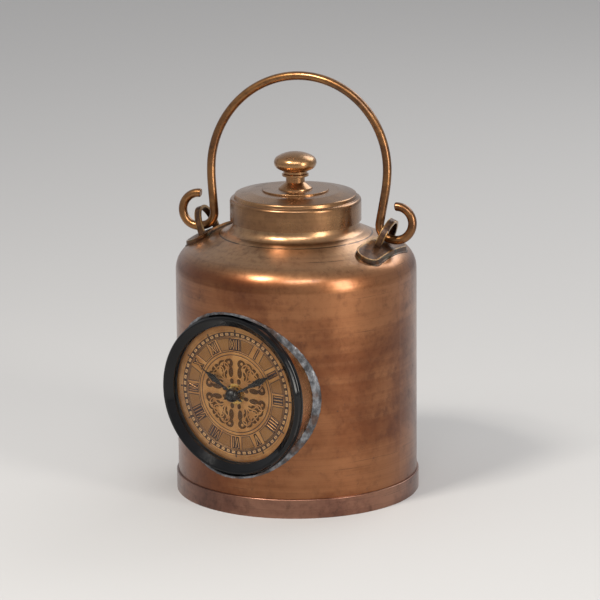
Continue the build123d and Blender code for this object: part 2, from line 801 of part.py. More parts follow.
def make_stator():
    reach = coil_length / 2 + core_pad + film_gap
    return clock_block(coil_x - stator_width / 2, coil_x + stator_width / 2 - stator_trim, coil_rise - reach,
                       coil_rise + reach, stator_back_y() - stator_thickness, stator_back_y())


def coil_rod(radius, length):
    """Upright rod on the coil's axis."""
    return Pos(coil_x, coil_centre_y(), clock_z + coil_rise) * Cylinder(radius, length)


def make_coil():
    return coil_rod(coil_r, coil_length) - coil_rod(core_r + film_gap, coil_length + 1)


def make_coil_core():
    core = coil_rod(core_r, coil_length + core_pad)
    for end in (-1, 1):
        low = coil_rise + end * (coil_length / 2 + film_gap)
        heights = sorted((low, low + end * core_pad))
        core += clock_block(coil_x - core_r, coil_x + core_r, heights[0], heights[1],
                            stator_back_y() + film_gap, coil_centre_y() + core_r)
    return core


def make_parts():
    """Every node of the assembly by name."""
    parts = {
        "can_shell": make_can_shell(),
        "base_ring": make_base_ring(),
        "bottom_plate": make_bottom_plate(),
        "neck_rim": make_neck_rim(),
        "clock_collar": make_clock_collar(),
        "solder_bead": make_solder_bead(),
        "bail_wire": make_bail(),
        "lid_shell": make_lid_shell(),
        "lid_disc": make_lid_disc(),
        "lid_knob": make_knob(),
        "knob_screw": make_knob_screw(),
        "knob_washer": make_knob_washer(),
        "bezel": make_bezel(),
        "lens": make_lens(),
        "lens_gasket": make_lens_gasket(),
        "dial_ring": make_dial_ring(),
        "dial": make_dial(),
        "clock_pan": make_clock_pan(),
        "grip_band": make_grip_band(),
        "movement_front": make_movement_front(),
        "movement_back": make_movement_back(),
        "threaded_bush": make_threaded_bush(),
        "bush_washer": make_bush_washer(),
        "bush_nut": make_bush_nut(),
        "circuit_board": make_circuit_board(),
        "stator": make_stator(),
        "coil": make_coil(),
        "coil_core": make_coil_core(),
        "contact_plus": make_contact(True),
        "contact_minus": make_contact(False),
        "battery": make_battery(),
        "minute_arbor": make_minute_arbor(),
        "minute_hand": make_minute_hand(),
        "hand_cap": make_hand_cap(),
        "hour_wheel": make_hour_wheel(),
        "hour_hand": make_hour_hand(),
        "minute_wheel": make_minute_wheel(),
        "set_knob": make_set_knob(),
    }
    for side, left in (("right", False), ("left", True)):
        parts["lug_braze_" + side] = to_side(make_lug_braze(), left, plate_axis_turn)
        parts["lug_plate_" + side] = to_side(make_lug_plate(), left, plate_axis_turn)
        parts["lug_loop_" + side] = to_side(make_lug_loop(), left, lug_axis_turn)
    return parts


os.makedirs("parts", exist_ok=True)
for name, shape in make_parts().items():
    export_step(shape, f"parts/{name}.step")
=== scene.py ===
"""Looks of a table clock: a lidded copper milk can with a swing handle and a round clock in its side.

Every length is in metres unless its name says otherwise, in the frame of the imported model: +Z up the can,
the clock faces -Y.
"""

from __future__ import annotations

import json
import logging
import math
from dataclasses import dataclass
from enum import Enum
from typing import Any, Callable, Iterable, Optional, Union

import bmesh
import bpy
from mathutils import Matrix, Vector, noise

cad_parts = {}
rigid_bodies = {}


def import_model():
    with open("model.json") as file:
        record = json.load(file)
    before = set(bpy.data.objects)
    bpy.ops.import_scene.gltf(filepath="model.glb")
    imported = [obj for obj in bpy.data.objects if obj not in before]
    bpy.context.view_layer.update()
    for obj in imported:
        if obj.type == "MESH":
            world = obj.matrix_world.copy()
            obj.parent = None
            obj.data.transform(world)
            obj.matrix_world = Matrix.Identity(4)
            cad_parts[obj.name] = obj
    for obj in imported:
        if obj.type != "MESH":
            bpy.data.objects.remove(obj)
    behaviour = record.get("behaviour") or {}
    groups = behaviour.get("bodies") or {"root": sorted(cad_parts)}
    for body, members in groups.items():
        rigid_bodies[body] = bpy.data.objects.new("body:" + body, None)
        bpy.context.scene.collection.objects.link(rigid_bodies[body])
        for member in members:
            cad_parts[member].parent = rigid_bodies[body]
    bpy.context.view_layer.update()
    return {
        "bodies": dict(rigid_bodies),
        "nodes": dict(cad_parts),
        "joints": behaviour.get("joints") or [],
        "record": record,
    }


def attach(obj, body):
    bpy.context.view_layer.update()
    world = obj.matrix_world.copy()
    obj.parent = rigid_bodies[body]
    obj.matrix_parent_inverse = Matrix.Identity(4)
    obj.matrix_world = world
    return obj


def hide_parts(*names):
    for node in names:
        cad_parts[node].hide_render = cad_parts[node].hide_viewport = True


LOG = logging.getLogger("table_clock")
MM = 0.001
PER_METRE = 1000
CLOCK_HEIGHT = 0.081
DIAL_FACE = -0.0757

Number = Union[int, float]


def tint(code: str) -> tuple[float, float, float, float]:
    """A screen colour such as "9a6440" as linear light.

    Args:
        code: six hexadecimal digits.

    Returns:
        Red, green, blue and an alpha of 1.
    """
    parts = [int(code[i:i + 2], 16) / 255 for i in (0, 2, 4)]
    linear = [p / 12.92 if p <= 0.04045 else ((p + 0.055) / 1.055) ** 2.4 for p in parts]
    return (linear[0], linear[1], linear[2], 1.0)


class Wire:
    """One output socket of a recipe, on which numbers are reckoned with plain operators."""

    def __init__(self, recipe: "Recipe", socket: bpy.types.NodeSocket) -> None:
        """Holds the socket and the recipe that it belongs to."""
        self.recipe = recipe
        self.socket = socket

    def reckon(self, operation: str, *others: Union["Wire", Number], first: bool = True) -> "Wire":
        """Adds one Math node.

        Args:
            operation: the node's operation.
            others: the other values.
            first: whether this wire is the first value, or the second.

        Returns:
            The node's result.
        """
        values = [self, *others] if first else [*others, self]
        return self.recipe.wire("ShaderNodeMath", {"operation": operation}, dict(enumerate(values)))

    def __add__(self, other: Union["Wire", Number]) -> "Wire":
        """The sum."""
        return self.reckon("ADD", other)

    def __radd__(self, other: Number) -> "Wire":
        """The sum, the other way round."""
        return self.reckon("ADD", other)

    def __sub__(self, other: Union["Wire", Number]) -> "Wire":
        """The difference."""
        return self.reckon("SUBTRACT", other)

    def __rsub__(self, other: Number) -> "Wire":
        """The difference, the other way round."""
        return self.reckon("SUBTRACT", other, first=False)

    def __mul__(self, other: Union["Wire", Number]) -> "Wire":
        """The product."""
        return self.reckon("MULTIPLY", other)

    def __rmul__(self, other: Number) -> "Wire":
        """The product, the other way round."""
        return self.reckon("MULTIPLY", other)

    def __truediv__(self, other: Union["Wire", Number]) -> "Wire":
        """The quotient."""
        return self.reckon("DIVIDE", other)

    def __rtruediv__(self, other: Number) -> "Wire":
        """The quotient, the other way round."""
        return self.reckon("DIVIDE", other, first=False)

    def __pow__(self, other: Union["Wire", Number]) -> "Wire":
        """The power."""
        return self.reckon("POWER", other)

    def __abs__(self) -> "Wire":
        """The size without its sign."""
        return self.reckon("ABSOLUTE")

    def least(self, other: Union["Wire", Number]) -> "Wire":
        """The smaller of the two."""
        return self.reckon("MINIMUM", other)

    def most(self, other: Union["Wire", Number]) -> "Wire":
        """The larger of the two."""
        return self.reckon("MAXIMUM", other)

    def ramp(self, low: Number, high: Number) -> "Wire":
        """A soft step from 0 at low to 1 at high.

        Args:
            low: where the step starts.
            high: where it ends, which may be below low for a falling step.

        Returns:
            The step's height.
        """
        rising = high > low
        step = self.recipe.wire("ShaderNodeMapRange", {"interpolation_type": "SMOOTHSTEP"},
                                {"Value": self, "From Min": min(low, high), "From Max": max(low, high)})
        return step if rising else 1 - step


class Recipe:
    """A material's node tree, filled in step by step."""

    def __init__(self, name: str) -> None:
        """Starts an empty material."""
        self.material = bpy.data.materials.new(name)
        self.material.use_nodes = True
        self.tree = self.material.node_tree
        self.tree.nodes.clear()
        self._place: Optional[bpy.types.NodeSocket] = None

    def node(self, kind: str, settings: Optional[dict[str, Any]] = None,
             inputs: Optional[dict[Union[str, int], Any]] = None) -> bpy.types.Node:
        """Adds one node.

        Args:
            kind: the node's type.
            settings: its settings, set first. "stops" fills a colour ramp.
            inputs: values, wires or sockets by the input's name or number.

        Returns:
            The node.
        """
        made = self.tree.nodes.new(kind)
        for key, value in (settings or {}).items():
            if key == "stops":
                ramp = made.color_ramp
                while len(ramp.elements) < len(value):
                    ramp.elements.new(0.5)
                for element, (position, colour) in zip(ramp.elements, value):
                    element.position = position
                    element.color = colour
            else:
                setattr(made, key, value)
        for key, value in (inputs or {}).items():
            if isinstance(value, Wire):
                self.tree.links.new(value.socket, made.inputs[key])
            elif isinstance(value, bpy.types.NodeSocket):
                self.tree.links.new(value, made.inputs[key])
            else:
                made.inputs[key].default_value = value
        return made

    def wire(self, kind: str, settings: Optional[dict[str, Any]] = None,
             inputs: Optional[dict[Union[str, int], Any]] = None, output: Union[int, str] = 0) -> Wire:
        """Adds one node and returns one of its outputs."""
        return Wire(self, self.node(kind, settings, inputs).outputs[output])

    def place(self) -> bpy.types.NodeSocket:
        """The Object coordinates."""
        if self._place is None:
            self._place = self.node("ShaderNodeTexCoord").outputs["Object"]
        return self._place

    def shifted(self, move: Iterable[float] = (0, 0, 0), stretch: Iterable[float] = (1, 1, 1)) -> Wire:
        """Object coordinates after a shift and a stretch."""
        return self.wire("ShaderNodeMapping", {"vector_type": "POINT"},
                         {"Vector": self.place(), "Location": tuple(move), "Scale": tuple(stretch)})

    def axes(self, move: Iterable[float] = (0, 0, 0)) -> tuple[Wire, Wire, Wire]:
        """The three Object coordinates as numbers, after a shift."""
        split = self.node("ShaderNodeSeparateXYZ", None, {0: self.shifted(move)})
        return Wire(self, split.outputs[0]), Wire(self, split.outputs[1]), Wire(self, split.outputs[2])

    def cloud(self, rate: float, detail: float = 3, rough: float = 0.55,
              stretch: Iterable[float] = (1, 1, 1), warp: float = 0) -> Wire:
        """Soft random variation between 0 and 1.

        Args:
            rate: features per metre.
            detail: octaves.
            rough: weight of the finer octaves.
            stretch: the coordinates' stretch.
            warp: distortion.

        Returns:
            The noise.
        """
        return self.wire("ShaderNodeTexNoise", {"noise_dimensions": "3D"},
                         {"Vector": self.shifted(stretch=stretch), "Scale": rate, "Detail": detail,
                          "Roughness": rough, "Distortion": warp})

    def blend(self, share: Union[Wire, Number], first: Any, second: Any) -> Wire:
        """Mixes two colours, from first at 0 to second at 1."""
        return self.wire("ShaderNodeMix", {"data_type": "RGBA", "clamp_factor": True},
                         {0: share, 6: first, 7: second}, 2)

    def bumped(self, height: Wire, distance: float, strength: float = 1.0) -> Wire:
        """A normal raised by a height in shares of the distance."""
        return self.wire("ShaderNodeBump", None,
                         {"Height": height, "Distance": distance, "Strength": strength}, "Normal")

    def finish(self, **sockets: Any) -> bpy.types.Material:
        """Closes the material with one Principled shader.

        Args:
            sockets: values or wires by socket name, with _ for a space.

        Returns:
            The material.
        """
        shader = self.node("ShaderNodeBsdfPrincipled", None,
                           {key.replace("_", " "): value for key, value in sockets.items()})
        self.node("ShaderNodeOutputMaterial", None, {"Surface": shader.outputs[0]})
        return self.material


@dataclass(frozen=True)
class AgedCopper:
    """Copper or brass with patina, turning lines and small dents, and painted light and shade: one side
    painted lighter, the top painted lighter and a line of painted shade under a ridge.

    Attributes:
        name: the material's name.
        deep: the patina's colour.
        middle: the usual colour.
        bright: the colour of worn metal, which also carries the painted light on the +X side.
        foot: the height at which the darker part ends.
        head: the height at which the brighter part starts.
        lines: the strength of the turning lines.
        patina: how much patina shows.
        shine: the roughness of the worn metal.
        aside: how much the +X side is painted lighter and the side away from it redder and darker, as
            painted light and shade.
        ridge: the height of a low rolled ridge with a line of painted shade under it, in millimetres, or 0
            for none.
        wax: the weight of the old clear wax.
        crown: the height from which the top is painted lighter as painted light, in metres, or 0 for
            nowhere.
        crown_rise: the height over which the painted light fades in, in metres.
        pale: the colour of the painted light on the top.
        dirt: the colour of the small specks.
        scratched: the colour of the long scratches.
        crevice: the colour of the painted shade under the ridge.
        depth: the depth of the relief, in metres.
    """

    name: str
    deep: str
    middle: str
    bright: str
    foot: float = -1.0
    head: float = 1.0
    lines: float = 1.0
    patina: float = 1.0
    shine: float = 0.27
    aside: float = 0.0
    ridge: float = 0.0
    wax: float = 0.45
    crown: float = 0.0
    crown_rise: float = 0.014
    pale: str = "b8936a"
    dirt: str = "2b1a10"
    scratched: str = "24150d"
    crevice: str = "22130b"
    depth: float = 0.07 * MM

    def make(self) -> bpy.types.Material:
        """Builds the material."""
        recipe = Recipe(self.name)
        across, _, height = recipe.axes()
        broad = recipe.cloud(16, 4, 0.6, warp=0.4)
        mottle = recipe.cloud(95, 5, 0.62)
        fine = recipe.cloud(620, 4, 0.6)
        turning = recipe.cloud(1, 3, 0.7, stretch=(7, 7, 900))
        bands = recipe.cloud(1, 3, 0.6, stretch=(3, 3, 130))
        # Share of the bright colour: random worn patches and bands, more of it higher up, and below,
        # painted light on one side.
        rubbed = (broad.ramp(0.36, 0.66) * 0.5 + bands.ramp(0.35, 0.7) * 0.3
                  + height.ramp(self.foot, self.head) * 0.35 - 0.1)
        # Painted light and shade: the +X side is painted lighter, the other side redder and darker.
        if self.aside:
            rubbed = rubbed + across.ramp(-0.05, 0.06) * self.aside - self.aside * 0.7
        colour = recipe.blend(rubbed.ramp(0.0, 0.95), tint(self.middle), tint(self.bright))
        # Painted light: from the given height up the metal is painted lighter, varied by the broad noise.
        if self.crown:
            painted_top_light = height.ramp(self.crown, self.crown + self.crown_rise)
            painted_top_light = painted_top_light * (0.85 - broad.ramp(0.3, 0.7) * 0.35)
            colour = recipe.blend(painted_top_light, colour, tint(self.pale))
        stain = (mottle.ramp(0.5, 0.78) * 0.55 + broad.ramp(0.52, 0.26) * 0.55) * self.patina
        colour = recipe.blend(stain.least(0.9), colour, tint(self.deep))
        grime = recipe.cloud(290, 5, 0.7).ramp(0.46, 0.66) * broad.ramp(0.7, 0.35)
        colour = recipe.blend(grime * (0.4 * self.patina), colour, tint(self.deep))
        specks = (fine.ramp(0.62, 0.74) * mottle.ramp(0.42, 0.62)) * (0.75 * self.patina)
        colour = recipe.blend(specks, colour, tint(self.dirt))
        streak = turning.ramp(0.5, 0.8) * (0.3 * self.lines)
        colour = recipe.blend(streak, colour, tint(self.deep))
        scratch = recipe.cloud(1, 2, 0.5, stretch=(16, 16, 1500)).ramp(0.68, 0.73) * broad.ramp(0.45, 0.6)
        colour = recipe.blend(scratch * (0.7 * self.lines), colour, tint(self.scratched))
        rough = self.shine + stain * 0.16 + fine.ramp(0.4, 0.7) * 0.05 + specks * 0.2
        relief = turning * (0.3 * self.lines) + mottle * 0.55 + fine * 0.07 - specks * 0.3
        # Painted shade: a dark line at the foot of the rolled ridge; the ridge itself is bump relief.
        if self.ridge:
            level = height * PER_METRE - self.ridge
            line = abs(level).ramp(0.32, 0.12) * mottle.ramp(0.3, 0.5)
            colour = recipe.blend(line * 0.85, colour, tint(self.crevice))
            relief = relief + level.ramp(-0.2, 0.5) * 5 - level.ramp(0.9, 2.3) * 4
        return recipe.finish(Base_Color=colour, Metallic=1 - specks * 0.6, Roughness=rough,
                             Coat_Weight=self.wax, Coat_Roughness=0.2,
                             Normal=recipe.bumped(relief, self.depth, 0.6))


@dataclass(frozen=True)
class Moulded:
    """Plastic, rubber or enamel with a faint moulded texture.

    Attributes:
        name: the material's name.
        colour: its colour.
        worn: the colour of its duller patches.
        roughness: the surface's roughness.
        grain: features per metre of the texture.
        metallic: 1 for metal.
        gloss: the specular level.
        depth: the depth of the relief, in metres.
    """

    name: str
    colour: str
    worn: str
    roughness: float = 0.45
    grain: float = 900
    metallic: float = 0.0
    gloss: float = 0.5
    depth: float = 0.02 * MM

    def make(self) -> bpy.types.Material:
        """Builds the material."""
        recipe = Recipe(self.name)
        patch = recipe.cloud(60, 3)
        grain = recipe.cloud(self.grain, 3)
        colour = recipe.blend(patch.ramp(0.42, 0.75), tint(self.colour), tint(self.worn))
        return recipe.finish(Base_Color=colour, Metallic=self.metallic, Specular_IOR_Level=self.gloss,
                             Roughness=self.roughness + (patch - 0.5) * 0.12 + (grain - 0.5) * 0.06,
                             Normal=recipe.bumped(grain, self.depth, 0.5))


@dataclass(frozen=True)
class WornLug:
    """Dark aged brass of the handle's seats, worn to gold along the edges of plate and loop, where the gold
    is also a painted highlight.

    Lengths are in millimetres, apart from the relief's depth, which is in metres.
    """

    name: str = "lug_brass"
    plate_turn: float = 6.0
    plate_centre: float = 64.0
    plate_straight: float = 20.1
    plate_half_width: float = 7.9
    loop_turn: float = 12.0
    loop_foot: float = 63.0
    loop_foot_height: float = 173.88
    loop_lean: float = 22.0
    dark: str = "2e1c11"
    usual: str = "5e3f25"
    # Gold of the worn edges, which also serves as a painted highlight along them.
    rubbed: str = "9a7543"
    verdigris: str = "4c5540"
    dirt: str = "1f150d"
    depth: float = 0.4 * MM

    def turned(self, across: Wire, deep: Wire, turn: float) -> tuple[Wire, Wire]:
        """Plan coordinates turned back by an angle: millimetres outwards from the can's axis, and along."""
        c, s = math.cos(math.radians(turn)), math.sin(math.radians(turn))
        return abs(across * c + deep * s), deep * c - across * s

    def make(self) -> bpy.types.Material:
        """Builds the material."""
        recipe = Recipe(self.name)
        x, y, z = recipe.axes()
        x, y, z = x * PER_METRE, y * PER_METRE, z * PER_METRE
        outwards, along = self.turned(x, y, self.plate_turn)
        end = (abs(along) - self.plate_straight).most(0)
        inset = self.plate_half_width - ((outwards - self.plate_centre) ** 2 + end * end) ** 0.5
        loop_out, _ = self.turned(x, y, self.loop_turn)
        lean = math.radians(self.loop_lean)
        risen = z - self.loop_foot_height
        sideways = (loop_out - self.loop_foot) * math.cos(lean) - risen * math.sin(lean)
        high = z.ramp(174.6, 176.2)
        # Edges of plate and loop, painted gold as wear and as a painted highlight, and made smoother.
        plate_rim = inset.ramp(1.5, 0.8) * inset.ramp(0.0, 0.3)
        loop_rim = abs(sideways).ramp(1.6, 2.1)
        edge_wear_and_highlight = plate_rim * (1 - high) + loop_rim * high
        mottle = recipe.cloud(160, 4, 0.62)
        fine = recipe.cloud(700, 4, 0.6)
        green = recipe.cloud(230, 4, 0.6)
        colour = recipe.blend(mottle.ramp(0.35, 0.65), tint(self.dark), tint(self.usual))
        colour = recipe.blend(edge_wear_and_highlight * mottle.ramp(0.25, 0.5), colour, tint(self.rubbed))
        sides = inset.ramp(0.2, -0.1)
        colour = recipe.blend(green.ramp(0.5, 0.66) * sides * 0.7, colour, tint(self.verdigris))
        colour = recipe.blend(fine.ramp(0.6, 0.75) * 0.6, colour, tint(self.dirt))
        height = plate_rim * (1 - high) + mottle * 0.5 + fine * 0.15
        return recipe.finish(Base_Color=colour, Metallic=0.9,
                             Roughness=0.42 - edge_wear_and_highlight * 0.14 + (fine - 0.5) * 0.1,
                             Coat_Weight=0.35, Coat_Roughness=0.25,
                             Normal=recipe.bumped(height, self.depth, 0.7))


@dataclass(frozen=True)
class GreySolder:
    """Rough grey solder, with bright worn lumps and darker pits."""

    name: str = "solder_grey"
    dull: str = "4a4b4e"
    bright: str = "8e9094"
    pit: str = "2c2a2a"
    stained: str = "5a4030"
    depth: float = 0.6 * MM

    def make(self) -> bpy.types.Material:
        """Builds the material."""
        recipe = Recipe(self.name)
        lump = recipe.cloud(180, 4, 0.6)
        fine = recipe.cloud(900, 4, 0.6)
        colour = recipe.blend(lump.ramp(0.35, 0.68), tint(self.dull), tint(self.bright))
        colour = recipe.blend(fine.ramp(0.55, 0.75) * 0.8, colour, tint(self.pit))
        stain = recipe.cloud(75, 4, 0.6).ramp(0.5, 0.64)
        colour = recipe.blend(stain * 0.65, colour, tint(self.stained))
        return recipe.finish(Base_Color=colour, Metallic=0.75, Roughness=0.5 - lump.ramp(0.5, 0.7) * 0.14,
                             Normal=recipe.bumped(lump * 0.6 + fine * 0.4, self.depth, 0.9))


@dataclass(frozen=True)
class ClearLens:
    """Clear dome that lets light through and mirrors at its edge."""

    name: str = "lens_clear"

    def make(self) -> bpy.types.Material:
        """Builds the material."""
        recipe = Recipe(self.name)
        smear = recipe.cloud(70, 3).ramp(0.4, 0.8)
        clear = recipe.node("ShaderNodeBsdfTransparent", None, {"Color": (0.97, 0.975, 0.97, 1)})
        mirror = recipe.node("ShaderNodeBsdfPrincipled", None,
                             {"Base Color": (0.9, 0.92, 0.95, 1), "Metallic": 1.0,
                              "Roughness": 0.03 + smear * 0.05})
        edge = recipe.wire("ShaderNodeFresnel", None, {"IOR": 1.4})
        outer = 1 - recipe.wire("ShaderNodeNewGeometry", None, None, "Backfacing")
        mixed = recipe.node("ShaderNodeMixShader", None,
                            {0: (edge * 0.8).least(0.5) * outer, 1: clear.outputs[0], 2: mirror.outputs[0]})
        recipe.node("ShaderNodeOutputMaterial", None, {"Surface": mixed.outputs[0]})
        return recipe.material


@dataclass(frozen=True)
class EmbossedDial:
    """Antique copper dial: minute track, hour panels, rings and scroll ornament, as colour and relief.

    Radii are in millimetres from the shaft.
    """

    name: str = "dial_copper"
    track_in: float = 38.9
    track_out: float = 41.9
    panel_in: float = 29.3
    panel_out: float = 37.9
    panel_frame: float = 0.5
    ring_out: float = 28.5
    ring_in: float = 26.4
    ornament: float = 24.6
    line: float = 0.3
    dull: str = "a4713f"
    bright: str = "bd8a52"
    sunk: str = "7b5531"
    rust: str = "8a4a1e"
    raised: str = "dcae78"
    ink: str = "2b1208"
    pocket: str = "45290f"
    depth: float = 0.4 * MM

    def band(self, radius: Wire, centre: float, half: float) -> Wire:
        """1 inside a ring of a half width about a radius, with a soft edge."""
        return abs(radius - centre).ramp(half + 0.12, half - 0.12)

    def between(self, radius: Wire, low: float, high: float) -> Wire:
        """1 from one radius to another, with a soft edge."""
        return self.band(radius, (low + high) / 2, (high - low) / 2)

    def scrolls(self, recipe: Recipe, across: Wire, up: Wire) -> Wire:
        """The dark pockets of the ornament, which is one eighth mirrored seven times.

        Args:
            recipe: the material.
            across: millimetres right of the shaft.
            up: millimetres above the shaft.

        Returns:
            1 in a pocket and 0 on the raised scrolls.
        """
        far = abs(across).most(abs(up))
        near = abs(across).least(abs(up))

        def reach(x: float, y: float, squash: float = 1.0) -> Wire:
            """Distance from a point, with the long way shortened by squash."""
            return (((far - x) * squash) ** 2 + (near - y) ** 2) ** 0.5

        def disc(x: float, y: float, r: float, squash: float = 1.0) -> Wire:
            """1 inside a disc or oval."""
            return reach(x, y, squash).ramp(r + 0.15, r - 0.15)

        def curl(x: float, y: float, r: float, half: float) -> Wire:
            """1 on a ring."""
            return abs(reach(x, y) - r).ramp(half + 0.15, half - 0.15)

        pockets = disc(8.4, 2.7, 1.5, 0.8)
        pockets = pockets.most(disc(14.6, 3.5, 1.9, 0.5))
        pockets = pockets.most(disc(20.6, 4.8, 3.1))
        pockets = pockets.most(disc(18.6, 10.2, 3.1))
        pockets = pockets.most(disc(20.4, 8.2, 1.9))
        pockets = pockets.most(disc(14.2, 8.4, 2.3))
        pockets = pockets.most(disc(10.8, 8.6, 1.9))
        pockets = pockets.most(disc(16.6, 14.6, 2.0))
        scroll = disc(20.9, 5.1, 1.0).most(curl(20.3, 5.4, 3.4, 0.35) * near.ramp(4.2, 5.4))
        scroll = scroll.most(disc(18.9, 10.6, 0.95)).most(curl(17.0, 8.6, 3.4, 0.4) * far.ramp(15.2, 16.4))
        scroll = scroll.most(curl(12.2, 4.4, 4.5, 0.45) * near.ramp(5.4, 6.4))
        scroll = scroll.most((far - near).ramp(0.9, 0.5) * far.ramp(17.4, 16.6))
        scroll = scroll.most(curl(14.8, 12.0, 2.6, 0.35))
        inside = ((far * far + near * near) ** 0.5).ramp(self.ornament, self.ornament - 0.4)
        return pockets * (1 - scroll) * inside * near.ramp(1.15, 1.5)

    def make(self) -> bpy.types.Material:
        """Builds the material."""
        recipe = Recipe(self.name)
        x, _, z = recipe.axes((0, 0, -CLOCK_HEIGHT))
        across = x * PER_METRE
        up = z * PER_METRE
        radius = (across * across + up * up) ** 0.5
        angle = across.reckon("ARCTAN2", up)
        hour = abs((angle * (6 / math.pi) + 12.5).reckon("FRACT") - 0.5)
        minute = abs((angle * (30 / math.pi) + 60).reckon("FRACT") - 0.5)
        beside = hour * radius * (math.pi / 6)
        track = self.between(radius, self.track_in, self.track_out)
        square = (minute * radius * (math.pi / 30)).ramp(1.35, 1.1) * self.band(radius, 40.4, 0.85)
        heart = (minute * radius * (math.pi / 30)).ramp(0.75, 0.5) * self.band(radius, 40.4, 0.3)
        marks = beside.ramp(0.7, 0.45) * self.band(radius, 42.9, 0.9)
        panel = self.between(radius, self.panel_in, self.panel_out)
        panel = panel * beside.ramp(4.15, 4.45)
        inner = self.between(radius, self.panel_in + self.panel_frame, self.panel_out - self.panel_frame)
        inner = inner * beside.ramp(4.85, 5.15)
        frame_line = panel * (1 - inner)
        rings = self.band(radius, self.ring_out, self.line)
        rings = rings.most(self.band(radius, self.ring_in, self.line))
        rings = rings.most(self.band(radius, 38.4, 0.26)).most(self.band(radius, 43.2, 0.1) * 0.5)
        pockets = self.scrolls(recipe, across, up)
        dark = (track * (1 - square)).most(rings).most(frame_line * 0.95).most(marks).most(heart * 0.7)
        wear = recipe.cloud(110, 4, 0.6)
        grain = recipe.cloud(1500, 3, 0.6)
        colour = recipe.blend(wear.ramp(0.35, 0.7), tint(self.dull), tint(self.bright))
        colour = recipe.blend(inner * 0.62, colour, tint(self.sunk))
        colour = recipe.blend(radius.ramp(43.6, 47.5) * 0.5, colour, tint(self.rust))
        colour = recipe.blend(square * 0.65, colour, tint(self.raised))
        colour = recipe.blend(dark * 0.96, colour, tint(self.ink))
        colour = recipe.blend(pockets * 0.9, colour, tint(self.pocket))
        height = 1 - dark * 0.6 - pockets * 0.9 - inner * 0.35 + square * 0.2 + grain * 0.08
        return recipe.finish(Base_Color=colour, Metallic=0.75 - dark * 0.5,
                             Roughness=0.42 + pockets * 0.2 + (grain - 0.5) * 0.1,
                             Normal=recipe.bumped(height, self.depth, 0.85))


@dataclass(frozen=True)
class PaleFloor:
    """Plain pale studio floor."""

    name: str = "floor_pale"
    colour: tuple[float, float, float, float] = (0.42, 0.415, 0.41, 1)
    roughness: float = 0.75

    def make(self) -> bpy.types.Material:
        """Builds the material."""
        return Recipe(self.name).finish(Base_Color=self.colour, Roughness=self.roughness)


# Body: its +X side and its top from the shoulder up are painted lighter, and a line of painted shade runs
# under the shoulder ridge.
BODY = AgedCopper("copper_body", "4a2310", "74401f", "9a6641", 0.03, 0.2, lines=1.0, patina=0.9, shine=0.3,
                  aside=0.5, ridge=176.1, crown=0.158)
BASE = AgedCopper("copper_base", "34211a", "70483a", "9a705a", -0.02, 0.03, lines=0.8, patina=1.0,
                  shine=0.3)
LID = AgedCopper("copper_lid", "472a17", "7f5a39", "a67d53", 0.18, 0.23, lines=0.8, patina=0.75, shine=0.27)
STRIP = AgedCopper("copper_polished", "7d4622", "94602f", "b97f50", lines=0.3, patina=0.15, shine=0.25)
ROD = AgedCopper("handle_rod", "2c1a10", "6c4526", "95683a", 0.17, 0.26, lines=0.0, patina=1.1, shine=0.28,
                 wax=0.45)


class Slot(Enum):
    """The record's material slots, each with its finish."""

    copper_body = BODY
    copper_base = BASE
    copper_lid = LID
    copper_polished = STRIP
    solder = GreySolder()
    lug_brass = WornLug()
    handle_rod = ROD
    bezel_black = Moulded("bezel_black", "050506", "09090b", 0.1, 500, gloss=0.3)
    lens_clear = ClearLens()
    dial_copper = EmbossedDial()
    hand_black = Moulded("hand_black", "120e0a", "1d1610", 0.28, 700, metallic=0.4)
    black_plastic = Moulded("black_plastic", "141416", "1c1c1f", 0.5)
    rubber_black = Moulded("rubber_black", "101011", "18181a", 0.8)
    gear_plastic = Moulded("gear_plastic", "e2dfd2", "d3cfbf", 0.45)
    yellow_brass = AgedCopper("yellow_brass", "7a5a22", "b58a3c", "d9b264", lines=0.2, patina=0.3,
                              shine=0.25)
    spring_steel = Moulded("spring_steel", "b9bbbd", "9fa1a4", 0.28, 1200, metallic=1.0)
    board_green = Moulded("board_green", "1f5a2e", "1a4d28", 0.4)
    coil_wire = Moulded("coil_wire", "a8582c", "8d4522", 0.3, 2500, metallic=0.8)
    battery_wrap = Moulded("battery_wrap", "222326", "2b2c30", 0.3, 400)


def make_solid(name: str, shape: Callable[[bmesh.types.BMesh], None]) -> bpy.types.Object:
    """Makes a piece from a bmesh.

    Args:
        name: the piece's name.
        shape: fills the empty bmesh.

    Returns:
        The new object, at the origin.
    """
    mesh = bpy.data.meshes.new(name)
    shell = bmesh.new()
    shape(shell)
    bmesh.ops.recalc_face_normals(shell, faces=shell.faces)
    shell.to_mesh(mesh)
    shell.free()
    made = bpy.data.objects.new(name, mesh)
    bpy.context.scene.collection.objects.link(made)
    return made


def shade(piece: bpy.types.Object, angle_deg: float = 35) -> None:
    """Shades a piece smoothly, with creases where its faces meet at more than an angle."""
    piece.data.shade_smooth()
    shell = bmesh.new()
    shell.from_mesh(piece.data)
    for edge in shell.edges:
        edge.smooth = len(edge.link_faces) == 2 and edge.calc_face_angle(0) < math.radians(angle_deg)
    shell.to_mesh(piece.data)
    shell.free()


def enrol(piece: bpy.types.Object, body: str, slot: Slot, finish: Optional[bpy.types.Material] = None,
          stands_for: Iterable[str] = ()) -> bpy.types.Object:
    """Gives a piece its material, its body and the nodes that it stands for.

    Args:
        piece: the object.
        body: the body that carries it.
        slot: the record's slot.
        finish: a material of its own, if not the slot's.
        stands_for: nodes that are hidden for it.

    Returns:
        The piece.
    """
    piece.data.materials.clear()
    piece.data.materials.append(finish or Finishes.get(slot))
    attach(piece, body)
    if stands_for:
        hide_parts(*stands_for)
    LOG.info("made %s on %s", piece.name, body)
    return piece


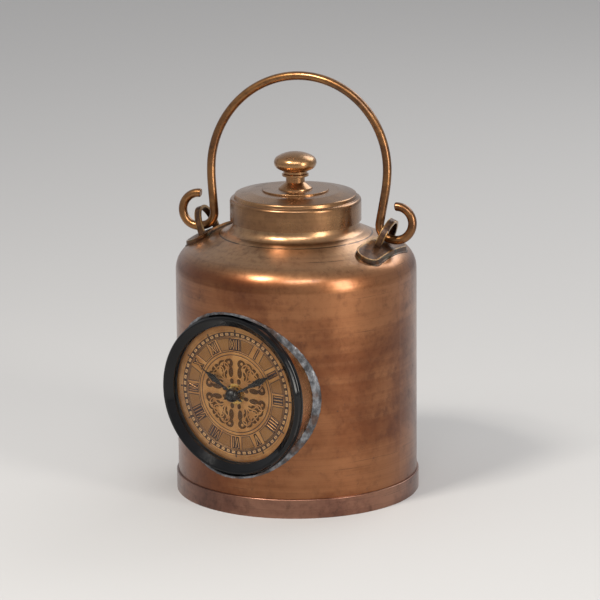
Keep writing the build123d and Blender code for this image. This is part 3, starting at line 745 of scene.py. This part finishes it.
class Finishes:
    """The slots' materials, each made once."""

    _made: dict[str, bpy.types.Material] = {}

    @classmethod
    def get(cls, slot: Slot) -> bpy.types.Material:
        """The material of a slot."""
        if slot.name not in cls._made:
            cls._made[slot.name] = slot.value.make()
        return cls._made[slot.name]


def dress_nodes(frame: dict[str, Any]) -> None:
    """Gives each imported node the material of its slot.
    """
    for part in frame["record"]["subparts"]:
        node = frame["nodes"][part["node"]]
        node.data.materials.clear()
        node.data.materials.append(Finishes.get(Slot[part["material_slot"]]))


@dataclass
class SolderedCollar:
    """The rough solder bead round the clock's collar."""

    frame: dict[str, Any]
    lump: float = 0.35 * MM
    rate: float = 320
    weld: float = 0.02 * MM
    longest_edge: float = 1.2 * MM
    cuts: int = 3
    octaves: int = 4
    fall: float = 0.8
    step: float = 2.1

    def build(self) -> None:
        """Makes the lumpy bead from the node's own ring."""
        source = self.frame["nodes"]["solder_bead"].data

        def shape(shell: bmesh.types.BMesh) -> None:
            """Divides the ring and raises lumps on it."""
            shell.from_mesh(source)
            bmesh.ops.remove_doubles(shell, verts=shell.verts, dist=self.weld)
            long_edges = [edge for edge in shell.edges if edge.calc_length() > self.longest_edge]
            bmesh.ops.subdivide_edges(shell, edges=long_edges, cuts=self.cuts, use_grid_fill=True)
            bmesh.ops.triangulate(shell, faces=shell.faces)
            shell.normal_update()
            for vert in shell.verts:
                swell = noise.fractal(vert.co * self.rate, self.fall, self.step, self.octaves)
                vert.co += vert.normal * max(-self.lump, min(self.lump, swell * self.lump))

        bead = make_solid("solder_lumps", shape)
        shade(bead, 60)
        enrol(bead, "pot", Slot.solder, stands_for=["solder_bead"])


@dataclass
class DialNumerals:
    """Twelve raised Roman numerals in the hour ring.

    Attributes:
        foot: radius of the numerals' feet.
        head: radius of their heads.
        pitch: bar pitch.
        bar: width of a bar.
        edge: dark margin at each side of a bar.
        raised: how far a bar stands off the dial.
        sunk: how far its dark margin does.
        round: width of the bars' rounded edges.
        signs: the numerals, clockwise from the top.
    """

    foot: float = 29.4 * MM
    head: float = 37.7 * MM
    pitch: float = 2.1 * MM
    bar: float = 0.6 * MM
    edge: float = 0.75 * MM
    raised: float = 0.22 * MM
    sunk: float = 0.06 * MM
    round: float = 0.1 * MM
    signs: tuple[str, ...] = ("XII", "I", "II", "III", "IIII", "V", "VI", "VII", "VIII", "IX", "X", "XI")

    def strokes(self, sign: str) -> list[tuple[float, float]]:
        """Places of a numeral's bars.

        Args:
            sign: the numeral.

        Returns:
            For each bar its offset at the foot and at the head, in pitches from the numeral's middle.
        """
        bars: list[tuple[float, float]] = []
        at = 0.0
        for letter in sign:
            if letter == "I":
                bars.append((at + 0.5, at + 0.5))
                at += 1.0
            elif letter == "V":
                bars.append((at + 0.95, at + 0.35))
                bars.append((at + 0.95, at + 1.6))
                at += 1.9
            else:
                bars.append((at + 0.35, at + 1.65))
                bars.append((at + 1.65, at + 0.35))
                at += 2.0
        return [(low - at / 2, high - at / 2) for low, high in bars]

    def bars(self, shell: bmesh.types.BMesh, half: float, depth: float, margin: float) -> None:
        """Adds every bar as a thin slab on the dial's face.

        Args:
            shell: the mesh.
            half: half a bar's width.
            depth: how far it stands off the face.
            margin: how much it is cut back at its ends.
        """
        for number, sign in enumerate(self.signs):
            turn = Matrix.Rotation(number * math.pi / 6, 4, "Y")
            for low, high in self.strokes(sign):
                made = bmesh.ops.create_cube(shell, size=1)["verts"]
                for vert in made:
                    share = high if vert.co.z > 0 else low
                    reach = self.head - margin if vert.co.z > 0 else self.foot + margin
                    vert.co = Vector((share * self.pitch + math.copysign(half, vert.co.x),
                                      DIAL_FACE - depth * (0.5 - vert.co.y), reach))
                bmesh.ops.transform(shell, matrix=turn, verts=made)
        bmesh.ops.translate(shell, vec=(0, 0, CLOCK_HEIGHT), verts=shell.verts)

    def build(self) -> None:
        """Makes the dark margins and the raised bars."""

        def margin(shell: bmesh.types.BMesh) -> None:
            """Lays the margins flat on the dial."""
            self.bars(shell, self.bar / 2 + self.edge, self.sunk, 0)

        def raised(shell: bmesh.types.BMesh) -> None:
            """Raises the bars and rounds their edges."""
            self.bars(shell, self.bar / 2, self.raised, self.edge)
            bmesh.ops.bevel(shell, geom=shell.edges[:], offset=self.round, offset_type="OFFSET", segments=1,
                            profile=0.5, affect="EDGES", material=-1, clamp_overlap=True)

        ink = Moulded("dial_dark", "2b1208", "3a1a0b", 0.5, metallic=0.2)
        enrol(make_solid("numeral_margins", margin), "insert", Slot.dial_copper, ink.make())
        numerals = make_solid("numerals", raised)
        pale = AgedCopper("numeral_copper", "7a4d28", "a4713f", "c4935a", lines=0.0, patina=0.3, shine=0.35)
        enrol(numerals, "insert", Slot.dial_copper, pale.make())


@dataclass(frozen=True)
class SoftBox:
    """One square lamp of the studio.

    Attributes:
        name: its name.
        azimuth: its place round the object, from the camera's side, in degrees.
        elevation: its height angle, in degrees.
        far: its distance.
        size: its width and height.
        power: its watts.
        colour: its light's screen colour.
    """

    name: str
    azimuth: float
    elevation: float
    far: float
    size: tuple[float, float]
    power: float
    colour: str


@dataclass
class Studio:
    """Floor, lamps and camera at the photograph's viewing angle.

    Attributes:
        azimuth: the camera's turn from the clock's axis, in degrees.
        elevation: its height angle, in degrees.
        distance: its distance from the target.
        target: the point it looks at.
        roll: its turn about its own axis, in degrees.
        lens: focal length, in millimetres.
        sensor: width of the camera's sensor, in millimetres.
        reach: how far the camera sees.
        floor_radius: radius of the floor.
        floor_sides: number of its sides.
        room_light: the light that the room gives.
        room_seen: the room as the camera, metal and glass see it.
        boxes: the lamps.
    """

    azimuth: float = 32.6
    elevation: float = 13.63
    distance: float = 2.5
    target: tuple[float, float, float] = (0.00204, 0.0013, 0.1291)
    roll: float = -0.48
    lens: float = 222.0
    sensor: float = 36.0
    reach: float = 50.0
    floor_radius: float = 9.0
    floor_sides: int = 96
    room_light: tuple[float, float, float, float] = (0.7, 0.7, 0.71, 1)
    room_seen: tuple[float, float, float, float] = (0.49, 0.49, 0.5, 1)
    boxes: tuple[SoftBox, ...] = (
        SoftBox("key", -44, 52, 1.5, (0.3, 0.3), 18, "fffaf2"),
        SoftBox("side", 46, 18, 1.6, (0.4, 1.05), 14, "fffaf2"),
        SoftBox("over", 6, 47, 1.7, (0.8, 0.3), 8, "ffffff"),
        SoftBox("back", 138, 38, 1.8, (1.1, 0.8), 9, "ffffff"),
    )

    def toward(self, azimuth: float, elevation: float) -> Vector:
        """The direction from the target to a place at an azimuth and elevation, in degrees."""
        a, e = math.radians(azimuth), math.radians(elevation)
        return Vector((math.sin(a) * math.cos(e), -math.cos(a) * math.cos(e), math.sin(e)))

    def aim(self, thing: bpy.types.Object, place: Vector, at: Vector, roll: float = 0.0) -> None:
        """Puts a lamp or camera at a place and points it."""
        turn = (at - place).to_track_quat("-Z", "Y").to_matrix().to_4x4()
        thing.matrix_world = Matrix.Translation(place) @ turn @ Matrix.Rotation(math.radians(roll), 4, "Z")

    def lamp(self, box: SoftBox) -> None:
        """Adds a soft box."""
        data = bpy.data.lights.new(box.name, "AREA")
        data.shape = "RECTANGLE"
        data.size, data.size_y = box.size
        data.energy = box.power
        data.color = tint(box.colour)[:3]
        made = bpy.data.objects.new(box.name, data)
        bpy.context.scene.collection.objects.link(made)
        at = Vector(self.target)
        self.aim(made, at + self.toward(self.azimuth + box.azimuth, box.elevation) * box.far, at)

    def world(self) -> None:
        """Lights the room evenly and shows it pale behind the object."""
        world = bpy.data.worlds.new("studio")
        bpy.context.scene.world = world
        world.use_nodes = True
        tree = world.node_tree
        tree.nodes.clear()
        path = tree.nodes.new("ShaderNodeLightPath")
        seen = path.outputs["Is Camera Ray"]
        for kind in ("Is Glossy Ray", "Is Transmission Ray"):
            either = tree.nodes.new("ShaderNodeMath")
            either.operation = "MAXIMUM"
            tree.links.new(seen, either.inputs[0])
            tree.links.new(path.outputs[kind], either.inputs[1])
            seen = either.outputs[0]
        mix = tree.nodes.new("ShaderNodeMix")
        mix.data_type = "RGBA"
        mix.inputs[6].default_value = self.room_light
        mix.inputs[7].default_value = self.room_seen
        tree.links.new(seen, mix.inputs[0])
        sky = tree.nodes.new("ShaderNodeBackground")
        tree.links.new(mix.outputs[2], sky.inputs["Color"])
        out = tree.nodes.new("ShaderNodeOutputWorld")
        tree.links.new(sky.outputs[0], out.inputs["Surface"])

    def build(self) -> None:
        """Makes the whole studio."""
        scene = bpy.context.scene
        scene.view_settings.view_transform = "Standard"
        self.world()

        def disc(shell: bmesh.types.BMesh) -> None:
            """Fills the floor's round."""
            bmesh.ops.create_circle(shell, cap_ends=True, radius=self.floor_radius,
                                    segments=self.floor_sides)

        floor = make_solid("floor", disc)
        floor.data.materials.append(PaleFloor().make())
        if floor.data.polygons[0].normal.z < 0:
            floor.data.flip_normals()
        for box in self.boxes:
            self.lamp(box)
        data = bpy.data.cameras.new("camera")
        data.sensor_width = self.sensor
        data.lens = self.lens
        data.clip_end = self.reach
        camera = bpy.data.objects.new("camera", data)
        scene.collection.objects.link(camera)
        at = Vector(self.target)
        self.aim(camera, at + self.toward(self.azimuth, self.elevation) * self.distance, at, self.roll)
        scene.camera = camera


def main() -> None:
    """Builds the table clock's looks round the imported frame."""
    logging.basicConfig(level=logging.INFO, format="%(message)s")
    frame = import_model()
    Studio().build()
    dress_nodes(frame)
    SolderedCollar(frame).build()
    DialNumerals().build()


if __name__ == "__main__":
    main()
